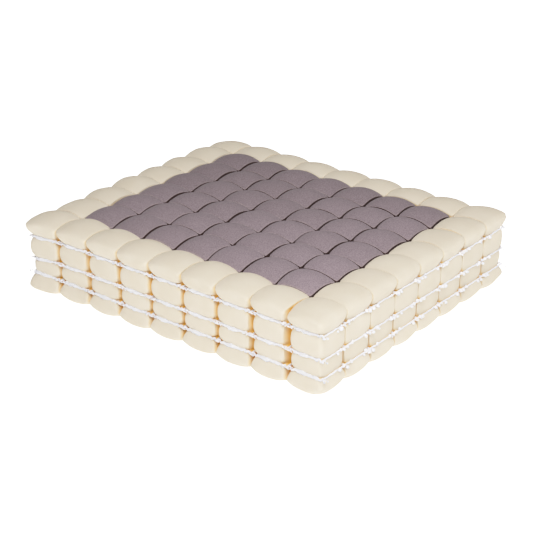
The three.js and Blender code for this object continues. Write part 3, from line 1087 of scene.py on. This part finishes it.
# Painted shade: nearly black inside a slit.
in_slit = {"Value": kept_value(tree, "seam_depth"), "From Min": SLIT_START, "From Max": SLIT_END}
in_slit = add_node(tree, "ShaderNodeMapRange", in_slit).outputs["Result"]
tree.links.new(mixed(tree, colour, (*GREY_PAINTED_SHADE, 1), share=in_slit), shader.inputs["Base Color"])
roughen(tree, shader, specks, strength=0.3, distance=0.5 * MM)
for piece in foam_pieces["grey"]:
    piece.data.materials.append(grey)
print("grey foam on", len(foam_pieces["grey"]), "blocks")

# %% [markdown]
# The yarn is white with a breath of blue. Its fibres are far too fine to model, so a fine noise gives it
# their uneven surface, and some sheen brightens it towards its outline, as loose fibres do.

# %% White yarn
YARN_TINTS = [(0.3, (0.87, 0.88, 0.97)), (0.6, (0.93, 0.935, 0.99))]

yarn, tree, shader = new_material("white_yarn", roughness=0.9, specular=0.2, sheen=0.4)
fibres = noise(tree, scale=1200, detail=3)
tree.links.new(ramp(tree, fibres, YARN_TINTS), shader.inputs["Base Color"])
roughen(tree, shader, fibres, strength=0.4, distance=0.4 * MM)
for piece in net_pieces:
    piece.data.materials.append(yarn)
print("white yarn on", len(net_pieces), "nets")

# %% [markdown]
# The cushion stands on a white floor that glows, as a light table does, and lights its sides from below. It
# glows more further away. The camera alone sees it brighter still, so it is pure white in the picture and
# yet doesn't flood the cushion with light.

# %% A white floor
FLOOR_HALF = 6
FLOOR_COLOUR = (0.9, 0.9, 0.9, 1)
WHITE = (1, 1, 1, 1)
GLOW_NEAR, GLOW_FAR = 0.64, 1.34
GLOW_FROM, GLOW_TO = 0.45, 1.3

shape = bmesh.new()
bmesh.ops.create_grid(shape, x_segments=1, y_segments=1, size=FLOOR_HALF)
floor = in_scene(mesh_from(shape, "floor"))

floor_material, tree, shader = new_material("white_floor", roughness=0.9, specular=0, sheen=0)
shader.inputs["Base Color"].default_value = FLOOR_COLOUR
shader.inputs["Emission Color"].default_value = WHITE
place = add_node(tree, "ShaderNodeTexCoord").outputs["Object"]
distance = add_node(tree, "ShaderNodeVectorMath", {0: place}, operation="LENGTH").outputs["Value"]
glow = {"From Min": GLOW_FROM, "From Max": GLOW_TO, "To Min": GLOW_NEAR, "To Max": GLOW_FAR}
glow = add_node(tree, "ShaderNodeMapRange", {"Value": distance, **glow}).outputs["Result"]
seen = add_node(tree, "ShaderNodeLightPath").outputs["Is Camera Ray"]
glow = add_node(tree, "ShaderNodeMath", {0: glow, 1: seen}, operation="ADD").outputs["Value"]
tree.links.new(glow, shader.inputs["Emission Strength"])
floor.data.materials.append(floor_material)
print("the floor glows by", GLOW_NEAR, "near the cushion and by", GLOW_FAR, "far away")

# %% [markdown]
# Behind the floor is only the world's background. It is bright to the camera, for a white surround, and gives
# no light, because stray light from every side would wash out the shade in the seams.

# %% A white wall behind it
WALL_BRIGHTNESS = 1.6

world = bpy.data.worlds.new("studio")
world.use_nodes = True
tree = world.node_tree
seen = add_node(tree, "ShaderNodeLightPath").outputs["Is Camera Ray"]
wall = {"Value": seen, "To Min": 0, "To Max": WALL_BRIGHTNESS}
wall = add_node(tree, "ShaderNodeMapRange", wall).outputs["Result"]
tree.nodes["Background"].inputs["Color"].default_value = WHITE
tree.links.new(wall, tree.nodes["Background"].inputs["Strength"])
bpy.context.scene.world = world
print("the wall is", WALL_BRIGHTNESS, "bright to the camera alone")

# %% [markdown]
# Three big round lamps light the cushion: the strongest on the camera's side, one further to the right and a
# weaker one behind on the left. Big lamps close by give soft shade, as a studio's soft box does. Their
# strengths came from rendering each alone and fitting the sum to the brightness of flat faces.

# %% Three soft lamps
LAMP_COLOUR = (1, 0.985, 0.965)
LAMP_SIZE = 1.0
LAMPS = [
    ("front_lamp", (0.75, -0.95, 1.5), 26.4),
    ("right_lamp", (1.2, -0.1, 1.7), 10.7),
    ("back_lamp", (-1.3, 1.4, 1.4), 9.4),
]

for name, place, power in LAMPS:
    data = bpy.data.lights.new(name, "AREA")
    data.shape = "DISK"
    data.size = LAMP_SIZE
    data.energy = power
    data.color = LAMP_COLOUR
    lamp = in_scene(data)
    lamp.location = place
    lamp.rotation_euler = (-Vector(place)).to_track_quat("-Z", "Y").to_euler()
    print(name, power, "W from", round(Vector(place).length, 2), "m")

# %% [markdown]
# A camera doesn't keep bright tones apart as well as dark ones. One curve does the same here: it leaves the
# greys nearly as they are, brings the creams closer together and ends in white at one and a half times the
# range. Each point says which share of that range becomes which brightness.

# %% Soften the bright tones
CURVE_END = 1.5
BRIGHT_TONES = [(0.27, 0.4), (0.42, 0.605), (0.58, 0.778), (0.75, 0.903), (0.88, 0.967)]

view = bpy.context.scene.view_settings
view.view_transform = "Standard"
view.use_curve_mapping = True
view.curve_mapping.white_level = (CURVE_END, CURVE_END, CURVE_END)
tone_curve = view.curve_mapping.curves[3]
for bright, kept in BRIGHT_TONES:
    tone_curve.points.new(bright, kept)
view.curve_mapping.update()
print("bright tones end in white at", CURVE_END)
